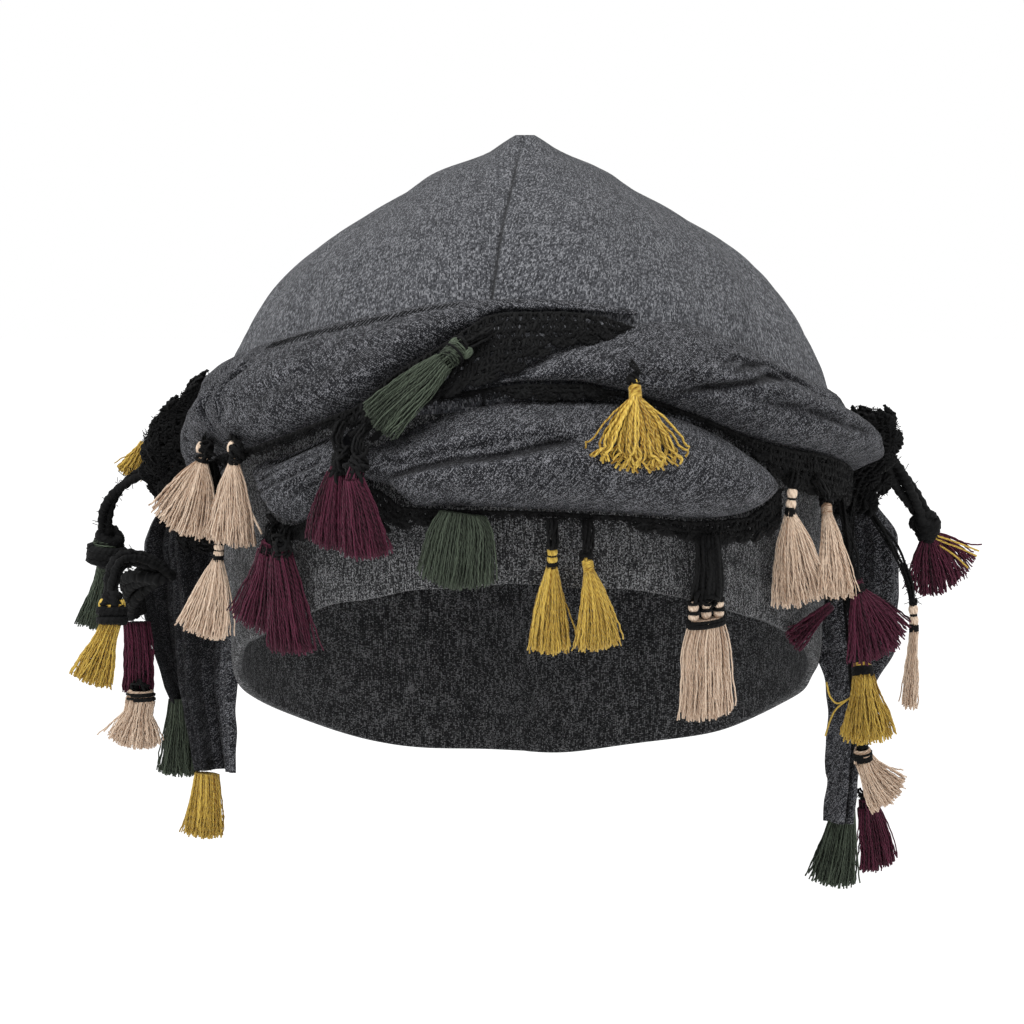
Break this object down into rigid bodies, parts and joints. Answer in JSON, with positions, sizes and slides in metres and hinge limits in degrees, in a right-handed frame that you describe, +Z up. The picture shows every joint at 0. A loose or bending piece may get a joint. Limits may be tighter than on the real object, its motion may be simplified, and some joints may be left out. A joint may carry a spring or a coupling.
{
  "type": "turban cap",
  "caption": "Pointed jersey cap with a scarf wound round it, crocheted lace along the scarf's edge, hanging scarf ends and yarn tassels.",
  "frame": {"origin": "middle of the head opening, level with the opening's two sides", "axes": "+Z up through the cap's point, the wearer faces -Y, the wearer's left is +X"},
  "size_m": [0.2545, 0.2302, 0.2108],
  "materials": {
    "jersey": "heather charcoal cotton jersey",
    "scarf": "heather charcoal woven cloth, pleated",
    "lace": "black crocheted yarn",
    "beige": "beige yarn",
    "mustard": "mustard yarn",
    "plum": "plum yarn",
    "green": "green yarn"
  },
  "bodies": {
    "root": {"crown": "jersey", "brow_band": "jersey", "wrap_upper": "scarf", "wrap_right": "scarf", "wrap_lower": "scarf", "wrap_pleats": "scarf", "lace_upper": "lace", "lace_right": "lace", "lace_lower": "lace", "lace_left_side": "lace", "lace_right_side": "lace", "tail_left": "scarf", "tail_right": "scarf", "tassel_01_green": "green", "tassel_02_plum": "plum", "tassel_03_plum": "plum", "tassel_04_beige": "beige", "tassel_05_beige": "beige", "tassel_06_beige": "beige", "tassel_07_plum": "plum", "tassel_08_plum": "plum", "tassel_09_green": "green", "tassel_10_mustard": "mustard", "tassel_11_mustard": "mustard", "tassel_12_mustard": "mustard", "tassel_13_beige": "beige", "tassel_14_beige": "beige", "tassel_15_beige": "beige", "tassel_16_plum": "plum", "tassel_17_plum": "plum", "tassel_18_plum": "plum", "tassel_19_mustard": "mustard", "tassel_20_beige": "beige", "tassel_21_plum": "plum", "tassel_22_green": "green", "tassel_23_beige": "beige", "tassel_24_mustard": "mustard", "tassel_25_green": "green", "tassel_26_mustard": "mustard", "tassel_27_plum": "plum", "tassel_28_beige": "beige", "tassel_29_green": "green", "tassel_30_mustard": "mustard"}
  },
  "joints": []
}
